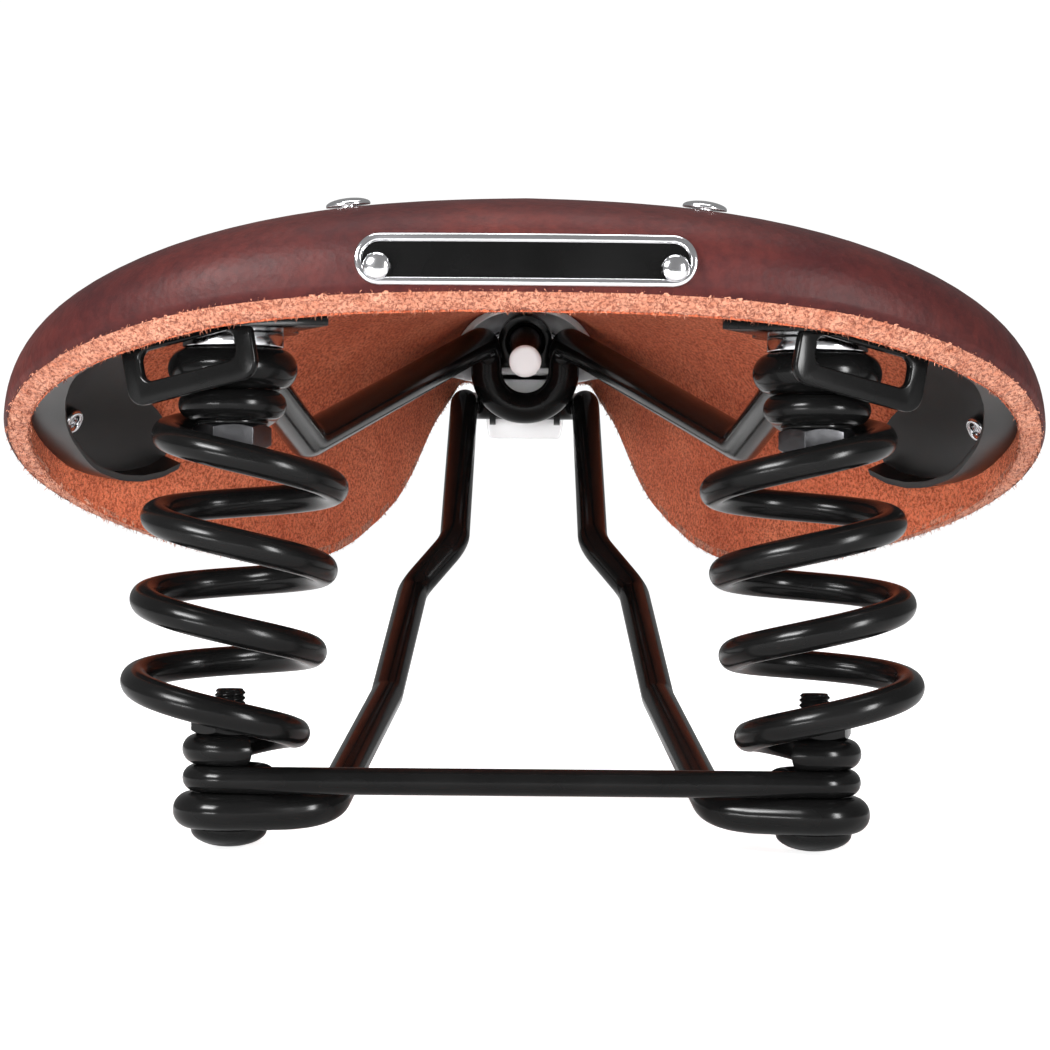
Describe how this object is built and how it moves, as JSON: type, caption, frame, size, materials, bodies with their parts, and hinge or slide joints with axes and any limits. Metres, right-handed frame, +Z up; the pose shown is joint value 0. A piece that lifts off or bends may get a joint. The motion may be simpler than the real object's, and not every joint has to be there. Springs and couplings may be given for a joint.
{
  "type": "bicycle saddle",
  "caption": "Sprung bicycle saddle: a thick leather top riveted to a steel cantle plate and a nose piece, on a bent-wire frame with two coil springs and clamp rails.",
  "frame": {"origin": "midway between the two rails, at the middle of the straight length that a seat post clamps", "axes": "+Y forward to the nose, +Z up, +X to the rider's right"},
  "size_m": [0.2092, 0.2646, 0.1266],
  "materials": {
    "hide": "satin",
    "black_enamel": "gloss",
    "spring_steel": "gloss",
    "chrome": "polished",
    "badge": "polished",
    "zinc": "satin"
  },
  "bodies": {
    "chassis": {"rails": "black_enamel", "spring_bar": "black_enamel", "lower_bolt_left": "black_enamel", "lower_bolt_right": "black_enamel", "lower_nut_left": "black_enamel", "lower_nut_right": "black_enamel", "spring_left": "spring_steel", "spring_right": "spring_steel"},
    "seat": {"leather_top": "hide", "badge_plate": "badge", "badge_rivet_left": "chrome", "badge_rivet_right": "chrome", "top_rivet_left": "chrome", "top_rivet_right": "chrome", "side_rivet_left": "chrome", "side_rivet_right": "chrome", "cantle_plate": "black_enamel", "spring_seat_left": "black_enamel", "spring_seat_right": "black_enamel", "bag_loop_left": "black_enamel", "bag_loop_right": "black_enamel", "upper_frame": "black_enamel", "upper_bolt_left": "black_enamel", "upper_bolt_right": "black_enamel", "upper_spacer_left": "chrome", "upper_spacer_right": "chrome", "upper_washer_left": "black_enamel", "upper_washer_right": "black_enamel", "upper_nut_left": "black_enamel", "upper_nut_right": "black_enamel", "shackle": "black_enamel"},
    "nose": {"nose_piece": "chrome", "nose_bracket": "chrome", "tension_bolt": "zinc", "nose_rivet_tip": "chrome", "nose_rivets_left": "chrome", "nose_rivets_right": "chrome"},
    "nut": {"tension_nut": "zinc"}
  },
  "joints": [
    {"name": "seat_rock", "type": "hinge", "parent": "chassis", "child": "seat", "pos_m": [0, 0.114, 0.057], "axis": [1, 0, 0], "range_deg": [0, 2.5], "stiffness_Nm_per_rad": 1500, "springref_deg": -0.11, "deforming": ["spring_left", "spring_right"]},
    {"name": "tension_slide", "type": "slide", "parent": "seat", "child": "nose", "axis": [0, 0.9833, 0.1822], "range_m": [0, 0.004], "deforming": ["leather_top"]},
    {"name": "tension_nut_spin", "type": "hinge", "parent": "seat", "child": "nut", "pos_m": [0, 0.1, 0.0729], "axis": [0, 0.9833, 0.1822], "range_deg": [0, 1152]}
  ],
  "couplings": [
    {"joint": "tension_nut_spin", "follows": "tension_slide", "rad_per_m": 5026.5}
  ]
}
